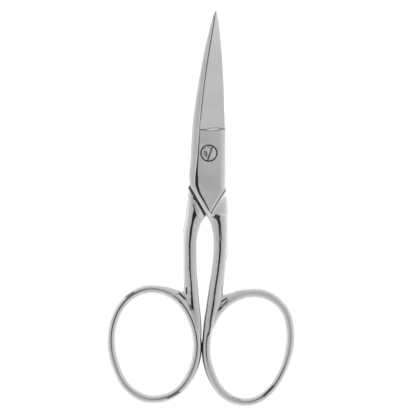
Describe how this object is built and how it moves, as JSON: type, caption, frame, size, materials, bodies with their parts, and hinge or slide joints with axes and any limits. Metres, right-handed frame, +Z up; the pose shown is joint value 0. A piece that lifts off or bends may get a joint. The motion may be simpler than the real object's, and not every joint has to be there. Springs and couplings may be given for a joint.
{
  "type": "curved nail scissors",
  "caption": "Curved nail scissors: two crossed halves with upturned pointed blades and oval finger bows, joined by a slotted pivot screw.",
  "frame": {"origin": "on the surface the scissors lie on, under the middle of their length, with the bows even on both sides", "axes": "+Y to the tips, +X to the right bow as seen from the front, +Z up, the way the tips curve"},
  "size_m": [0.043, 0.09, 0.0091],
  "materials": {
    "front_half_nickel": "polished nickel plate, blade and lap face ground satin",
    "rear_half_nickel": "polished nickel plate, blade and lap face ground satin",
    "pivot_screw_steel": "turned steel, lightly worn"
  },
  "bodies": {
    "rear": {"rear_half": "rear_half_nickel", "pivot_screw": "pivot_screw_steel"},
    "front": {"front_half": "front_half_nickel"}
  },
  "joints": [
    {"name": "pivot_hinge", "type": "hinge", "parent": "rear", "child": "front", "pos_m": [0, 0.0127, 0.0019], "axis": [0, 0, 1], "range_deg": [0, 55]}
  ]
}
